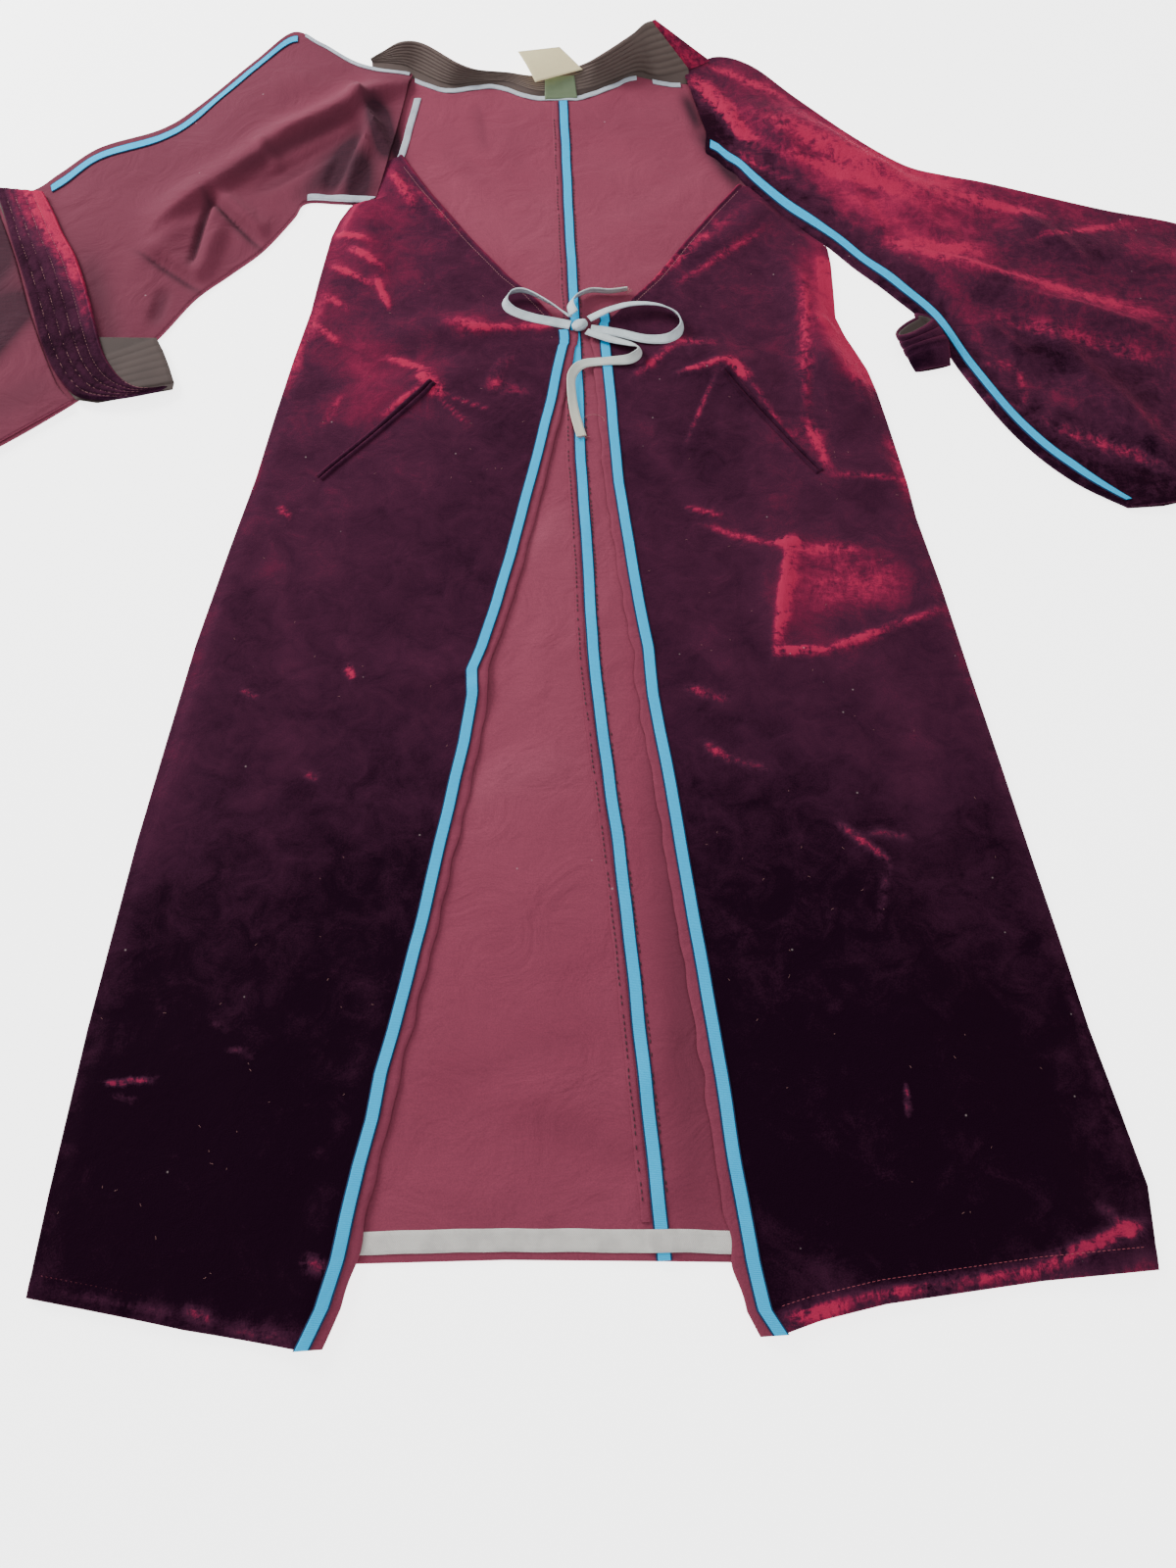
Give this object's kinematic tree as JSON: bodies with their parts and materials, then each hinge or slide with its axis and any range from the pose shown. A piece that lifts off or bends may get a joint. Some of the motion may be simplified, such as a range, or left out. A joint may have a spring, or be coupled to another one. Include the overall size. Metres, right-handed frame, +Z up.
{
  "type": "velvet robe",
  "caption": "Floor-length velvet robe with wide raglan sleeves, stand collar, slanted welt pockets and a tape tie, laid flat on its back with the fronts open below the tie.",
  "frame": {"origin": "on the surface that the robe lies on, under the middle of its bounding box", "axes": "+Z up from the surface, +Y from the hem to the neck, +X towards the sleeve that lies velvet side out"},
  "size_m": [1.6, 1.596, 0.0467],
  "materials": {
    "velvet": "crushed silk velvet pile",
    "wrong_side": "dull woven back of the velvet",
    "blue_tape": "ribbed grosgrain with dark edges",
    "pale_binding": "woven cotton tape",
    "hem_tape": "herringbone twill tape",
    "brown_facing": "woven lining cloth, channel stitched",
    "cream_label": "woven label, blank",
    "green_label": "woven label, blank",
    "tie_tape": "flat woven tape"
  },
  "bodies": {
    "root": {"back_left": "wrong_side", "back_right": "wrong_side", "front_left": "velvet", "front_right": "velvet", "allowance_front_left": "wrong_side", "tape_front_left": "blue_tape", "allowance_front_right": "wrong_side", "tape_front_right": "blue_tape", "tape_back": "blue_tape", "allowance_back": "wrong_side", "hem_tape_back": "hem_tape", "binding_neck": "pale_binding", "binding_shoulder_right": "pale_binding", "binding_armhole_left": "pale_binding", "pocket_left_welt_upper": "velvet", "pocket_left_welt_lower": "velvet", "pocket_right_welt_upper": "velvet", "pocket_right_welt_lower": "velvet", "sleeve_left": "wrong_side", "sleeve_right": "velvet", "tape_sleeve_left": "blue_tape", "tape_sleeve_right": "blue_tape", "binding_shoulder_left": "pale_binding", "binding_underarm_left": "pale_binding", "sleeve_left_turnback": "wrong_side", "sleeve_right_turnunder": "velvet", "cuff_left_facing": "brown_facing", "cuff_left": "velvet", "cuff_right": "velvet", "cuff_right_facing": "brown_facing", "collar_facing": "brown_facing", "collar": "velvet", "label_lower": "green_label", "label_upper": "cream_label", "tie_knot": "tie_tape", "tie_loop_left": "tie_tape", "tie_loop_right": "tie_tape", "tie_end_upper": "tie_tape", "tie_end_lower": "tie_tape"}
  },
  "joints": []
}
